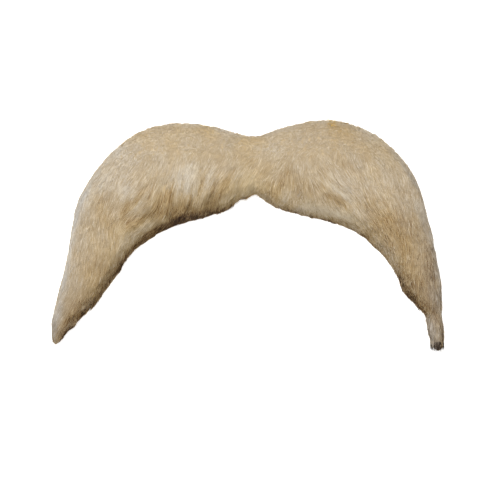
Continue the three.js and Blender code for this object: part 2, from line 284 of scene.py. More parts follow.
# Where threads of the ground cloth fray out of the cut upper edge, between two points in millimetres: how
# many, their tone, how high they come out, and how far they stand out of the pile
Fray = namedtuple("Fray", "x y to_x to_y threads tone height lift", defaults=(3.5, 0.3))

FRAYS = [Fray(*row) for row in (
    (27.4, 15.7, 29.2, 15.5, 24, 0.85),
    (27.6, 15.4, 29.0, 14.6, 30, 0.65, 7.0, 0.45),
    (19.6, 14.4, 23.9, 14.6, 12, 0.75),
    (30.4, 15.0, 34.6, 14.3, 8, 0.45),
    (-31.8, 14.3, -23.9, 14.3, 14, 0.55),
    (-26.8, 13.2, -26.2, 11.2, 10, 0.55),
    (-18.9, 13.6, -16.1, 12.9, 10, 0.6),
    (-48.2, 8.2, -46.1, 9.6, 8, 0.55),
    (-45.4, 9.6, -33.2, 13.9, 10, 0.5),
    (-14.6, 12.9, -4.6, 10.7, 6, 0.5),
    (3.2, 10.7, 18.2, 14.6, 8, 0.55),
    (35.4, 13.9, 46.8, 8.2, 8, 0.5),
    (48.2, 6.8, 56.1, -1.8, 4, 0.5),
)]

# Hairs that stand out of the end of the right tip: how many, how wide and how far down their roots lie in
# millimetres, their length, and their tone
EndHairs = namedtuple("EndHairs", "hairs across down length tone")

END_HAIRS = (
    EndHairs(280, (64.3, 67.4), (-64.2, -63.3), 2.3, 0.0),
    EndHairs(24, (63.6, 66.8), (-63.4, -62.4), 2.9, 0.5),
    EndHairs(10, (63.4, 64.2), (-63.2, -62.6), 2.9, 0.65),
)

# The hair's colours from its darkest to its palest tone, as display values, where it is cool and where
# it is warm
COOL_TONES = (
    (0.0, (36, 33, 31)),
    (0.12, (71, 60, 50)),
    (0.25, (113, 99, 83)),
    (0.4, (147, 134, 118)),
    (0.6, (172, 161, 146)),
    (0.8, (186, 177, 164)),
    (1.0, (212, 207, 199)),
)
WARM_TONES = (
    (0.0, (46, 30, 14)),
    (0.12, (82, 55, 28)),
    (0.25, (123, 94, 57)),
    (0.4, (155, 127, 85)),
    (0.6, (180, 154, 110)),
    (0.8, (195, 171, 130)),
    (1.0, (218, 198, 158)),
)

# What parts of the pile's form add to the hair's tone and warmth, and how many millimetres they press it
# in.
# The outer walls are made paler with painted light. The upper edge is darkened with painted shade. Faces
# turned down and in are darkened and browned with painted shade, more so on the left, away from the lamp.
# The upper part is a little paler and the legs darker.
Effect = namedtuple("Effect", "tone warm press")

EFFECTS = {
    "outer": Effect(0.13, 0, 0),
    "inner": Effect(0, 0.2, 0),
    "rim": Effect(0, -0.35, 0),
    "wall": Effect(0, 0, 0.15),
    "side": Effect(0, 0.3, 0),
    "over": Effect(-0.12, 0, 0.1),
    "under": Effect(-0.34, 0.15, 0.25),
    "left_under_painted_shade": Effect(-0.1, 0.2, 0),
    "top": Effect(0.042, 0, 0),
    "tips": Effect(-0.15, 0, 0),
}
BASE_TONE = 0.74
BASE_WARMTH = 0.52

# The guide surface under the hairs: the size of its faces, passes that smooth it all round and keep its
# size, and passes that level its crown, which faces up at least this far
GUIDE_GRAIN = 0.9 * MM
ROUND_PASSES = 4
ROUND_FACTORS = (0.5, -0.51)
CROWN_PASSES = 18
CROWN_FACING = 0.25

# Points of a copied mesh closer than this are one, and no hair comes closer to the floor than this
MERGE_DISTANCE = 0.001 * MM
FLOOR_GAP = 0.1 * MM

# A strand is lit this far as a round thing by itself, and for the rest as a part of the pile's surface. It
# thins to this share of its width.
ROUNDNESS = 0.3
TIP_TAPER = 0.35

# The map that colours strands: its name, the width of a strand on it, and its margin
STRAND_MAP = "OFBake"
MAP_WIDTH = 0.008
MAP_MARGIN = 0.02


def linear(display):
    """A display colour of three numbers up to 255 as a linear one, with its alpha."""
    parts = [c / 255 for c in display]
    return (*(c / 12.92 if c <= 0.04045 else ((c + 0.055) / 1.055) ** 2.4 for c in parts), 1.0)


# Shader maths


class Value:
    """A socket of a finish, for writing shader maths as Python expressions."""

    def __init__(self, finish, socket):
        self.finish = finish
        self.socket = socket

    def math(self, operation, first, second):
        return self.finish.node("ShaderNodeMath", {"operation": operation}, {0: first, 1: second})

    def __add__(self, other):
        return self.math("ADD", self, other)

    def __radd__(self, other):
        return self.math("ADD", other, self)

    def __sub__(self, other):
        return self.math("SUBTRACT", self, other)

    def __rsub__(self, other):
        return self.math("SUBTRACT", other, self)

    def __mul__(self, other):
        return self.math("MULTIPLY", self, other)

    def __rmul__(self, other):
        return self.math("MULTIPLY", other, self)

    def sine(self):
        return self.math("SINE", self, 0)

    def above(self, limit):
        return self.math("GREATER_THAN", self, limit)


class Finish:
    """A material under construction: a Principled surface and the nodes that feed it."""

    def __init__(self, name, **plain):
        self.material = bpy.data.materials.new(name)
        self.material.use_nodes = True
        self.tree = self.material.node_tree
        self.surface = self.tree.nodes["Principled BSDF"]
        self.feed(**plain)

    def node(self, kind, settings, inputs, output=0):
        """Adds a node, sets it up, gives its sockets values or links, and returns one of its outputs."""
        made = self.tree.nodes.new(kind)
        for name, value in settings.items():
            setattr(made, name, value)
        for name, value in inputs.items():
            self.connect(made.inputs[name], value)
        return Value(self, made.outputs[output])

    def connect(self, socket, value):
        if isinstance(value, Value):
            self.tree.links.new(value.socket, socket)
        else:
            socket.default_value = value

    def feed(self, **values):
        """Gives the surface's own sockets values or links."""
        for socket, value in values.items():
            self.connect(self.surface.inputs[socket.replace("_", " ").title()], value)
        return self.material

    def coordinates(self):
        return self.node("ShaderNodeTexCoord", {}, {}, "Object")

    def parts(self, vector):
        """The three parts of a vector."""
        split = self.node("ShaderNodeSeparateXYZ", {}, {0: vector}).socket.node
        return [Value(self, output) for output in split.outputs]

    def strand_map(self):
        """How far across and how far up a strand lies on its map."""
        return self.parts(self.node("ShaderNodeUVMap", {"uv_map": STRAND_MAP}, {}))[:2]

    def noise(self, place, scale, detail=3.0):
        sockets = {"Vector": place, "Scale": scale, "Detail": detail, "Roughness": 0.55}
        return self.node("ShaderNodeTexNoise", {"noise_dimensions": "3D"}, sockets)

    def ramp(self, value, stops):
        """A colour from a value by display colours at places along a ramp."""
        made = self.node("ShaderNodeValToRGB", {}, {0: value})
        elements = made.socket.node.color_ramp.elements
        while len(elements) < len(stops):
            elements.new(1.0)
        for element, (at, display) in zip(elements, stops):
            element.position = at
            element.color = linear(display)
        return made

    def mix(self, factor, first, second):
        return self.node("ShaderNodeMix", {"data_type": "RGBA"}, {0: factor, 6: first, 7: second}, 2)

    def bump(self, height, strength, distance):
        sockets = {"Height": height, "Strength": strength, "Distance": distance}
        return self.node("ShaderNodeBump", {}, sockets)


# Settings


class PileSettings(bpy.types.PropertyGroup):
    """Sizes of the combed pile."""

    hairs: bpy.props.IntProperty(
        name="Hairs", description="How many hairs the pile shows", default=90000, min=100
    )
    locks: bpy.props.IntProperty(
        name="Locks", description="How many locks the tufts gather in", default=700, min=10
    )
    tufts: bpy.props.IntProperty(
        name="Tufts", description="How many small tufts the hairs gather in", default=9000, min=10
    )
    hair_length: bpy.props.FloatProperty(
        name="Hair length", description="Length of a hair that shows", default=9 * MM, unit="LENGTH"
    )
    hair_width: bpy.props.FloatProperty(
        name="Hair width", description="Width of a hair at its root", default=0.17 * MM, unit="LENGTH"
    )
    gather: bpy.props.FloatProperty(
        name="Gather", description="How far the tips of a tuft come together", default=0.1, subtype="FACTOR"
    )
    stray: bpy.props.FloatProperty(
        name="Stray", description="How far hairs leave their tuft", default=0.3 * MM, unit="LENGTH"
    )
    guard: bpy.props.FloatProperty(
        name="Guard hairs", description="Share of thicker hairs on top", default=0.1, subtype="FACTOR"
    )
    seed: bpy.props.IntProperty(name="Seed", description="Which scatter of hairs is drawn", default=7)


class BackSettings(bpy.types.PropertyGroup):
    """Sizes of the ground cloth and the tape."""

    stitch: bpy.props.FloatProperty(
        name="Stitch", description="Width of a knitted column", default=1.4 * MM, unit="LENGTH"
    )
    cloth_grid: bpy.props.FloatProperty(
        name="Cloth grid", description="Spacing of the cloth's points", default=1.5 * MM, unit="LENGTH"
    )
    thread: bpy.props.FloatProperty(
        name="Thread", description="Width of a frayed ground thread", default=0.26 * MM, unit="LENGTH"
    )
    thread_seed: bpy.props.IntProperty(
        name="Thread seed", description="Which scatter of frayed threads is drawn", default=3
    )
    tape_corner: bpy.props.FloatProperty(
        name="Tape corner", description="Radius of the tape's corners", default=2.5 * MM, unit="LENGTH"
    )
    tape_rim: bpy.props.FloatProperty(
        name="Tape rim", description="Softness of the tape's edges", default=0.08 * MM, unit="LENGTH"
    )
    liner: bpy.props.FloatProperty(
        name="Liner", description="Thickness of the paper liner", default=0.28 * MM, unit="LENGTH"
    )


class StageSettings(bpy.types.PropertyGroup):
    """The light and the camera."""

    key: bpy.props.FloatProperty(
        name="Key", description="Power of the lamp at the upper left", default=18, unit="POWER"
    )
    ambient: bpy.props.FloatProperty(
        name="Ambient", description="Strength of the even light from all round", default=0.55
    )
    lens: bpy.props.FloatProperty(
        name="Lens", description="Focal length on a 36 mm sensor", default=135, unit="CAMERA"
    )
    aim_height: bpy.props.FloatProperty(
        name="Aim height", description="Height that fills the frame", default=3 * MM, unit="LENGTH"
    )


# Meshes


def mesh_object(name, mesh):
    piece = bpy.data.objects.new(name, mesh)
    bpy.context.scene.collection.objects.link(piece)
    return piece


def object_from(name, form):
    """An object with the mesh of a finished bmesh, which is freed."""
    mesh = bpy.data.meshes.new(name)
    form.to_mesh(mesh)
    form.free()
    return mesh_object(name, mesh)


def dress(piece, material, slot, *nodes):
    """Gives a piece its material and body, and lets it stand for CAD nodes. The slot is not used."""
    piece.data.materials.clear()
    piece.data.materials.append(material)
    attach(piece, BODY)
    if nodes:
        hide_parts(*nodes)


def soften(form, edges, offset, segments):
    """Rounds edges of a form."""
    bmesh.ops.bevel(
        form, geom=edges, offset=offset, offset_type="OFFSET", segments=segments, profile=0.5,
        affect="EDGES", clamp_overlap=True, material=-1,
    )


def merged_copy(node):
    """A bmesh of a CAD node with its doubles merged."""
    form = bmesh.new()
    form.from_mesh(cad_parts[node].data)
    bmesh.ops.remove_doubles(form, verts=form.verts, dist=MERGE_DISTANCE)
    return form


def guide_form():
    """A bmesh of the pile's outer form with even faces and a softened crown."""
    holder = object_from("guide", merged_copy("fur_pile"))
    mesh = holder.data
    remesh = holder.modifiers.new("Even", "REMESH")
    remesh.mode = "VOXEL"
    remesh.voxel_size = GUIDE_GRAIN
    bpy.context.view_layer.update()
    evaluated = holder.evaluated_get(bpy.context.evaluated_depsgraph_get())
    form = bmesh.new()
    form.from_mesh(evaluated.to_mesh())
    bpy.data.objects.remove(holder)
    bpy.data.meshes.remove(mesh)
    for _ in range(ROUND_PASSES):
        for factor in ROUND_FACTORS:
            bmesh.ops.smooth_vert(
                form, verts=form.verts, factor=factor, use_axis_x=True, use_axis_y=True, use_axis_z=True
            )
    form.normal_update()
    crown = [vertex for vertex in form.verts if vertex.normal.z > CROWN_FACING]
    for _ in range(CROWN_PASSES):
        bmesh.ops.smooth_vert(form, verts=crown, factor=0.5, use_axis_z=True)
    bmesh.ops.triangulate(form, faces=form.faces)
    form.normal_update()
    return form


class Surface:
    """The pile's outer surface, for placing hairs on it and laying them along it."""

    # Passes that smooth a copy, which hollows are measured from
    HOLLOW_PASSES = 40

    # An open face looks down no further than this, and is free from this distance on
    LOWEST_FACING = -0.25
    CLEAR = 0.4 * MM

    def __init__(self, form):
        self.points = np.array([v.co for v in form.verts])
        self.normals = np.array([v.normal for v in form.verts])
        form.verts.index_update()
        self.triangles = np.array([[v.index for v in f.verts] for f in form.faces])
        self.tree = BVHTree.FromPolygons(self.points.tolist(), self.triangles.tolist())
        self.hollow = self.find_hollows(form)
        a, b, c = (self.points[self.triangles[:, i]] for i in range(3))
        self.areas = np.linalg.norm(np.cross(b - a, c - a), axis=1) / 2
        self.areas[~self.open_faces(form)] = 0

    def find_hollows(self, form):
        """How far each point lies under its surroundings."""
        edges = np.array([[e.verts[0].index, e.verts[1].index] for e in form.edges])
        both = np.concatenate([edges, edges[:, ::-1]])
        count = np.bincount(both[:, 0], minlength=len(self.points))[:, None]
        soft = self.points.copy()
        for _ in range(self.HOLLOW_PASSES):
            total = np.stack([np.bincount(both[:, 0], soft[both[:, 1], i], len(soft)) for i in range(3)], 1)
            soft = (soft + total / count) / 2
        return ((soft - self.points) * self.normals).sum(1)

    def open_faces(self, form):
        """Which faces see the sky, or stand at the side with nothing over them."""
        seen = []
        for face in form.faces:
            start = face.calc_center_median() + face.normal * self.CLEAR
            facing = face.normal.z > self.LOWEST_FACING
            seen.append(facing and self.tree.ray_cast(start, Vector((0, 0, 1)))[0] is None)
        return np.array(seen)

    def scatter(self, rng, count):
        """Random places spread evenly over the open surface: place, normal and hollow."""
        share = (np.arange(count) + rng.random(count)) / count
        chosen = np.searchsorted(np.cumsum(self.areas) / self.areas.sum(), share)
        parts = rng.dirichlet((1, 1, 1), count)
        corners = self.triangles[chosen]
        place = (self.points[corners] * parts[:, :, None]).sum(1)
        normal = (self.normals[corners] * parts[:, :, None]).sum(1)
        hollow = (self.hollow[corners] * parts).sum(1)
        return place, unit(normal), hollow

    def snap(self, places):
        """The nearest places on the surface, and the normals there."""
        found = [self.tree.find_nearest(place) for place in places.tolist()]
        faces = self.triangles[[hit[2] for hit in found]]
        return np.array([hit[0] for hit in found]), unit(self.normals[faces].mean(1))


def nearest(among, places):
    """For each place, which of some other places is nearest to it."""
    finder = KDTree(len(among))
    for i, place in enumerate(among):
        finder.insert(place, i)
    finder.balance()
    return np.array([finder.find(place)[1] for place in places])


def unit(vectors):
    """Vectors of the same directions with length one."""
    return vectors / np.maximum(np.linalg.norm(vectors, axis=-1, keepdims=True), 1e-12)


def ease(values, low, high):
    """Zero up to one limit, one past the other, and smooth between."""
    share = ((values - low) / (high - low)).clip(0, 1)
    return share * share * (3 - 2 * share)


def line_ends(row):
    """The two points that a table's row gives for its line."""
    return np.array((row.x, row.y)) * MM, np.array((row.to_x, row.to_y)) * MM


def line_distance(places, row):
    """How far places lie from a row's line, seen from above."""
    start, end = line_ends(row)
    along = end - start
    share = ((places[..., :2] - start) @ along / (along @ along)).clip(0, 1)
    return np.linalg.norm(places[..., :2] - start - share[..., None] * along, axis=-1)


def mottle(rng, places, length, waves=14):
    """Smooth random change over the moustache, of about one length, as a sum of waves."""
    turn, start = rng.uniform(0, math.tau, (2, waves))
    rate = math.tau / (length * rng.uniform(0.6, 1.6, waves))
    across, up = places[..., 0, None], places[..., 1, None]
    phase = (across * np.cos(turn) + up * np.sin(turn)) * rate + start
    return np.sin(phase).sum(-1) / math.sqrt(waves / 2)


# The pile's form


def lean_at(places):
    """The lean of the pile in radians, as a mean of the rows of LAY weighted by nearness."""
    at = np.array([(row.x, row.y) for row in LAY]) * MM
    lean = np.radians([row.lean for row in LAY])
    away = ((places[:, None, :2] - at) ** 2).sum(2) / MM**2
    weight = 1 / (away + 1) ** 1.5
    return (weight * lean).sum(1) / weight.sum(1)


def laid(normals, lean):
    """Directions of the lay on a surface: the flat lay, turned as the upright turns to the normal."""
    flat = np.stack([np.sin(lean), -np.cos(lean), np.zeros_like(lean)], 1)
    axis = np.stack([-normals[:, 1], normals[:, 0], np.zeros_like(lean)], 1)
    once = np.cross(axis, flat)
    twice = np.cross(axis, once)
    return unit(flat + once + twice / np.maximum(1 + normals[:, 2:], 0.3))


def facing_under(places, normals):
    """How far the surface faces down and in, to the mouth."""
    inward = -np.tanh(places[..., 0] / (10 * MM))
    return normals[..., 0] * inward * 0.5 - normals[..., 1] * 0.87


def tone_at(places, normals, take=1.0):
    """The hair's tone, warmth and lift at places. Each hair takes the shades in its own measure."""
    across, up, height = np.moveaxis(places, -1, 0)
    upright = normals[..., 2]
    facing = facing_under(places, normals)
    under = ease(facing, 0.65, 1.0)
    over = ease(normals[..., 1], 0.5, 0.95)
    wall = ease(0.75 - upright, 0, 0.6)
    side = 1 - ease(upright, 0.05, 0.4)
    seen = 0.3 + 0.7 * ease(upright, 0.0, 0.25)
    high = 0.15 + 0.85 * ease(height, 2.5 * MM, 6 * MM) * (1 - side)
    # Masks for painted light and shade: outer walls get painted light, while the upper edge (over) and
    # faces turned down and in (under, more on the left) get painted shade
    parts = {
        "outer": wall * seen * (1 - over) * (1 - ease(facing, 0.0, 0.5)),
        "inner": ease(facing, -0.3, 0.4),
        "rim": wall * high * (1 - ease(facing, -0.1, 0.4)),
        "wall": wall * (1 - over),
        "side": side * (1 - under),
        "over": over,
        "under": under,
        "left_under_painted_shade": ease(-across, -10 * MM, 15 * MM) * under,
        "top": ease(up, -2 * MM, 6 * MM),
        "tips": ease(-up, 20 * MM, 60 * MM),
    }
    tone = BASE_TONE + sum(EFFECTS[name].tone * part for name, part in parts.items())
    warmth = BASE_WARMTH + sum(EFFECTS[name].warm * part for name, part in parts.items())
    lift = -MM * sum(EFFECTS[name].press * part for name, part in parts.items())
    # The rows of SHADES: painted shade in partings and along lower rims, painted light on raised locks,
    # changes of warmth, and lifts
    for shade in SHADES:
        away = line_distance(places, shade) / (shade.spread * MM)
        near = np.exp(-(away**2))
        tone += shade.tone * near * take * seen
        warmth += shade.warm * near * take * high
        lift += shade.lift * near * MM
    return tone, warmth, lift


def reach_at(places, normals):
    """How much of a hair's length lies on the surface: long on the wings, short where the pile stands."""
    across, up = places[:, 0], places[:, 1]
    left = 0.5 * np.exp(-(((across + 25 * MM) / (24 * MM)) ** 2))
    right = 0.3 * np.exp(-(((across - 34 * MM) / (13 * MM)) ** 2))
    swept = (left + right) * ease(-normals[:, 1], -0.25, 0.15)
    top = 0.28 * ease(up, -4 * MM, 6 * MM)
    under = 0.55 * ease(facing_under(places, normals), 0.15, 0.6)
    return (0.45 + swept - top) * (1 - under)


def unlike_at(places, normals, reach):
    """How unlike in tone neighbouring hairs are: most where they are long, on the right and underneath."""
    across, up = places[:, 0], places[:, 1]
    lower = 0.5 * ease(-up, -5 * MM, 5 * MM)
    right = 0.15 * ease(across, 5 * MM, 25 * MM)
    under = 0.4 * ease(facing_under(places, normals), 0.2, 0.6)
    return 0.5 + lower + np.maximum(reach - 0.5, 0) + right + under


# Strands


def strand_mesh(name, paths, normals, widths, tones, warmth):
    """Tapered strands in one mesh: two rings of three and a tip. Tone runs across its map, warmth up."""
    count, stations = paths.shape[:2]
    rings = stations - 1
    along = unit(paths[:, -1:] - paths[:, :1]).repeat(rings, 1)
    side = unit(np.cross(along, normals[:, :rings]))
    up = np.cross(side, along)
    turns = np.radians([90, 210, 330])
    taper = np.linspace(1, TIP_TAPER, stations)[:rings]
    radius = widths[:, None] / 2 * taper
    spokes = side[:, :, None] * np.cos(turns)[:, None] + up[:, :, None] * np.sin(turns)[:, None]
    shell = paths[:, :rings, None] + spokes * radius[:, :, None, None]
    points = np.concatenate([shell.reshape(count, rings * 3, 3), paths[:, -1:]], 1)
    sides = ((0, 1), (1, 2), (2, 0))
    faces = [(0, 1, 2)]
    for a, b in sides:
        faces += [(a, a + 3, b), (b, a + 3, b + 3)]
    faces += [(a + 3, 6, b + 3) for a, b in sides]
    per = rings * 3 + 1
    index = (np.array(faces)[None] + np.arange(count)[:, None, None] * per).reshape(-1, 3)
    mesh = bpy.data.meshes.new(name)
    mesh.vertices.add(count * per)
    mesh.vertices.foreach_set("co", points.astype(np.float32).ravel())
    mesh.loops.add(index.size)
    mesh.loops.foreach_set("vertex_index", index.astype(np.int32).ravel())
    mesh.polygons.add(len(index))
    mesh.polygons.foreach_set("loop_start", np.arange(0, index.size, 3, dtype=np.int32))
    mesh.update(calc_edges=True)
    mesh.shade_smooth()
    soft = normals[:, :rings, None] * (1 - ROUNDNESS) + spokes * ROUNDNESS
    soft = np.concatenate([soft.reshape(count, rings * 3, 3), normals[:, -1:]], 1)
    mesh.normals_split_custom_set_from_vertices(unit(soft.reshape(-1, 3)))
    places = map_places(apart(tones), warmth).reshape(-1, 2)[index.ravel()]
    layer = mesh.uv_layers.new(name=STRAND_MAP)
    layer.uv.foreach_set("vector", places.astype(np.float32).ravel())
    return mesh


def apart(tones):
    """Tones along strands, with each a little away from the one before it."""
    tones = tones.clip(0, 1) * (1 - 4 * MAP_MARGIN) + 2 * MAP_MARGIN
    for station in range(1, tones.shape[1]):
        step = tones[:, station] - tones[:, station - 1]
        near = np.abs(step) < 2 * MAP_WIDTH
        away = np.where(tones[:, station - 1] < 0.5, 2 * MAP_WIDTH, -2 * MAP_WIDTH)
        tones[:, station] = np.where(near, tones[:, station - 1] + away, tones[:, station])
    return tones


def map_places(tones, warmth):
    """The map places of the strands' points: three round each ring, and the tip."""
    count, stations = tones.shape
    warmth = warmth.clip(0, 1)[:, None] * (1 - 2 * MAP_MARGIN) + MAP_MARGIN
    across = tones[:, : stations - 1, None] + np.array([0, MAP_WIDTH, 0])
    up = np.broadcast_to(warmth[:, :, None] + np.array([-MAP_WIDTH, 0, MAP_WIDTH]), across.shape)
    across = np.concatenate([across.reshape(count, -1), tones[:, -1:]], 1)
    up = np.concatenate([up.reshape(count, -1), warmth], 1)
    return np.stack([across, up], 2)


# Finishes


def hair_finish():
    """Hair coloured by its map: its tone runs across, and its warmth up."""
    finish = Finish("combed_hair", roughness=0.55)
    finish.surface.inputs["Specular IOR Level"].default_value = 0.1
    tone, warmth = finish.strand_map()
    colour = finish.mix(warmth, finish.ramp(tone, COOL_TONES), finish.ramp(tone, WARM_TONES))
    return finish.feed(base_color=colour)


def thread_finish():
    """Dyed ground threads, dull gold to yellow across their map."""
    finish = Finish("gold_thread", roughness=0.6)
    tone, fade = finish.strand_map()
    bright = finish.ramp(tone, [(0.1, (118, 80, 34)), (0.5, (178, 138, 70)), (0.9, (226, 194, 96))])
    dull = finish.ramp(tone, [(0.1, (112, 84, 50)), (0.5, (170, 138, 92)), (0.9, (206, 180, 130))])
    return finish.feed(base_color=finish.mix(fade, bright, dull))


def core_finish():
    """The dense depth of the pile between the hairs."""
    finish = Finish("pile_depth", roughness=0.8)
    streaks = finish.noise(finish.coordinates(), scale=900, detail=4)
    colour = finish.ramp(streaks, [(0.3, (168, 148, 116)), (0.7, (194, 173, 139))])
    return finish.feed(base_color=colour, normal=finish.bump(streaks, strength=0.5, distance=0.2 * MM))


def cloth_finish(stitch):
    """Knitted ground cloth: columns of slanting stitches, mottled where the pile's roots come through."""
    finish = Finish("knit_ground", roughness=0.85)
    place = finish.coordinates()
    across, up, _ = finish.parts(place)
    columns = math.tau / stitch
    courses = columns * 1.3
    column = (across * columns).sine()
    slant = (up * courses + column * 1.4).sine()
    relief = column * 0.5 + slant * 0.35
    flecks = finish.noise(place, scale=420)
    colour = finish.ramp(relief * 0.25 + flecks, [(0.25, (150, 124, 82)), (0.75, (222, 202, 160))])
    return finish.feed(base_color=colour, normal=finish.bump(relief, strength=0.6, distance=0.25 * MM))


def tape_finish(liner):
    """Double-sided tape: a honey-coloured film over a waxed paper liner."""
    finish = Finish("tape_and_liner", roughness=0.45)
    place = finish.coordinates()
    height = finish.parts(place)[2]
    flecks = finish.noise(place, scale=260, detail=5)
    paper = finish.ramp(flecks, [(0.3, (226, 222, 208)), (0.7, (243, 241, 232))])
    film = finish.ramp(flecks, [(0.3, (206, 178, 118)), (0.7, (224, 200, 146))])
    in_liner = 1 - height.above(liner)
    relief = finish.bump(flecks, strength=0.15, distance=0.1 * MM)
    colour = finish.mix(in_liner, film, paper)
    return finish.feed(base_color=colour, roughness=flecks * 0.3 + 0.3, normal=relief)


# Operators


# Tufts of hair: three places along each, its reach, the lift of its lock, and its own tone, lift and slip
Tufts = namedtuple("Tufts", "first middle last reach lock_lift tone lift slip")


class MOUSTACHE_OT_pile(bpy.types.Operator):
    """Make the dense core of the pile and comb hairs over it"""

    bl_idname = "moustache.pile"
    bl_label = "Combed pile"

    REGIONS = ("left_tip", "left_wing", "middle", "right_wing", "right_tip")

    # How deep the core lies under the guide surface, and from how far a root comes down to the ground cloth
    CORE_DEPTH = 0.25 * MM
    ROOT_REACH = 1.9 * MM

    # How guard hairs differ from the rest
    GUARD_TONE = 0.08
    GUARD_LIFT = 0.1 * MM
    GUARD_WIDTH = 1.4

    # How far a hair's root, middle and tip stand off the surface, in millimetres, how far the upper edge
    # brings roots up, and how much further apart locks stand along the lower edge
    STATION_LIFT = (-0.3, 0.05, 0.18)
    OVER_ROOT_LIFT = 0.3 * MM
    EDGE_SPREAD = 4

    # The painted shade that darkens the hair in hollows and at its roots, the slow changes of tone and
    # warmth over the pile, and what a hair's own tone adds to its warmth
    HOLLOW_PAINTED_SHADE = -0.1
    ROOT_PAINTED_SHADE = -0.05
    SLOW_TONE = 0.01
    SLOW_WARMTH = 0.06
    WARMTH_BY_TONE = -0.35

    # How far the hairs at the end of a tip stand out, and their warmth
    END_LIFT = 0.3 * MM
    END_WARMTH = 0.1

    def execute(self, context):
        settings = context.scene.moustache_pile
        rng = np.random.default_rng(settings.seed)
        form = guide_form()
        surface = Surface(form)
        self.make_core(form)
        combed = self.comb(surface, rng, settings)
        ends = self.end_hairs(surface, rng, settings)
        strands = [np.concatenate(pair) for pair in zip(combed, ends)]
        material = hair_finish()
        order = np.argsort(strands[0][:, 0, 0], kind="stable")
        for region, part in zip(self.REGIONS, np.array_split(order, len(self.REGIONS))):
            name = "hair_" + region
            mesh = strand_mesh(name, *(values[part] for values in strands))
            dress(mesh_object(name, mesh), material, "pile")
        return {"FINISHED"}

    def make_core(self, form):
        """Sinks the guide surface under the hairs, deeper where they are pressed in."""
        form.normal_update()
        places, normals = (np.array([getattr(v, key) for v in form.verts]) for key in ("co", "normal"))
        press = np.minimum(tone_at(places, normals)[2], 0)
        for vertex, depth in zip(form.verts, self.CORE_DEPTH - press):
            vertex.co -= vertex.normal * depth
        piece = object_from("pile_core", form)
        piece.data.shade_smooth()
        dress(piece, core_finish(), "pile", "fur_pile")

    def grow_tufts(self, surface, rng, settings):
        """The tufts that hairs gather in, and which themselves gather in locks."""
        locks, tufts = settings.locks, settings.tufts
        lock_place, _, _ = surface.scatter(rng, locks)
        lock_lean = rng.normal(0, math.radians(3), locks)
        lock_tone = rng.normal(0, 0.01, locks)
        lock_lift = rng.normal(0, 0.03 * MM, locks)
        first, first_normal, _ = surface.scatter(rng, tufts)
        lock = nearest(lock_place, first)
        reach = reach_at(first, first_normal)
        wander = lock_lean[lock] + rng.normal(0, math.radians(1.3), tufts) / reach**2
        length = settings.hair_length * reach * rng.uniform(0.75, 1.25, tufts)
        half = length[:, None] / 2
        middle, middle_normal = surface.snap(first + laid(first_normal, lean_at(first) + wander) * half)
        last, _ = surface.snap(middle + laid(middle_normal, lean_at(middle) + wander) * half)
        tone = lock_tone[lock] + rng.normal(0, 0.01, tufts)
        lift = lock_lift[lock] + rng.normal(0, 0.015 * MM, tufts)
        slip = rng.normal(0, 0.5 * MM, tufts)
        return Tufts(first, middle, last, reach, lock_lift[lock], tone, lift, slip)

    def comb(self, surface, rng, settings):
        """The hairs' paths, the normals along them, and their widths, tones and warmth."""
        tufts = self.grow_tufts(surface, rng, settings)
        hairs = settings.hairs
        root, root_normal, hollow = surface.scatter(rng, hairs)
        chosen = nearest(tufts.first, root)
        tuft = Tufts(*(values[chosen] for values in tufts))
        offset = root - tuft.first
        gather = settings.gather * rng.uniform(0.5, 1.2, hairs)[:, None]
        stray = rng.normal(0, settings.stray, (hairs, 3))
        share = rng.uniform(0.55, 1.1, hairs)[:, None]
        before, after = tuft.middle - tuft.first, tuft.last - tuft.middle
        mid = tuft.first + before * share + offset * (1 - gather / 2) + stray / 2
        tip = tuft.middle + after * (2 * share - 1) + offset * (1 - gather) + stray
        mid, mid_normal = surface.snap(mid)
        tip, tip_normal = surface.snap(tip)
        paths = np.stack([root, mid, tip], 1)
        normals = np.stack([root_normal, mid_normal, tip_normal], 1)

        slip = (tuft.slip + rng.normal(0, 0.8 * MM, hairs))[:, None, None]
        take = rng.uniform(0.4, 1.6, hairs)[:, None]
        tones, warmth, lifts = tone_at(paths + unit(tip - root)[:, None] * slip, normals, take)
        guard = rng.random(hairs) < settings.guard
        own_lift = rng.uniform(-0.08, 0.12, hairs) * MM
        lifts += (tuft.lift + own_lift + guard * self.GUARD_LIFT)[:, None]
        lifts += np.array(self.STATION_LIFT) * MM
        lifts[:, 0] += self.OVER_ROOT_LIFT * ease(root_normal[:, 1], 0.3, 0.8)
        edge = ease(facing_under(paths, normals), 0.3, 0.9)
        lifts[:, 1:] += (edge * tuft.lock_lift[:, None] * self.EDGE_SPREAD)[:, 1:]

        unlike = unlike_at(root, root_normal, tuft.reach)
        # Painted shade: hairs rooted in hollows are darker
        own = tuft.tone + rng.normal(0, 0.14, hairs) * unlike + self.HOLLOW_PAINTED_SHADE * hollow / MM
        tones += own[:, None] + guard[:, None] * self.GUARD_TONE
        tones += self.SLOW_TONE * mottle(rng, paths, length=6 * MM)
        # Painted shade at the roots
        tones[:, 0] += self.ROOT_PAINTED_SHADE
        warmth = warmth.mean(1) + rng.normal(0, 0.02, hairs) + self.WARMTH_BY_TONE * own
        warmth += self.SLOW_WARMTH * mottle(rng, root, length=10 * MM)
        paths += normals * lifts[:, :, None]
        self.root_in_cloth(paths)
        paths[:, :, 2] = np.maximum(paths[:, :, 2], FLOOR_GAP)
        widths = settings.hair_width * rng.uniform(0.7, 1.2, hairs)
        widths *= np.where(guard, self.GUARD_WIDTH, 1)
        return paths, normals, widths, tones, warmth

    def root_in_cloth(self, paths):
        """Brings roots that lie close to the ground cloth down to its cut edge."""
        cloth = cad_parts["backing_cloth"].data
        ground = BVHTree.FromPolygons(
            [vertex.co for vertex in cloth.vertices], [face.vertices for face in cloth.polygons]
        )
        for path in paths:
            place = ground.find_nearest(path[0], self.ROOT_REACH)[0]
            if place is not None:
                path[0] = place

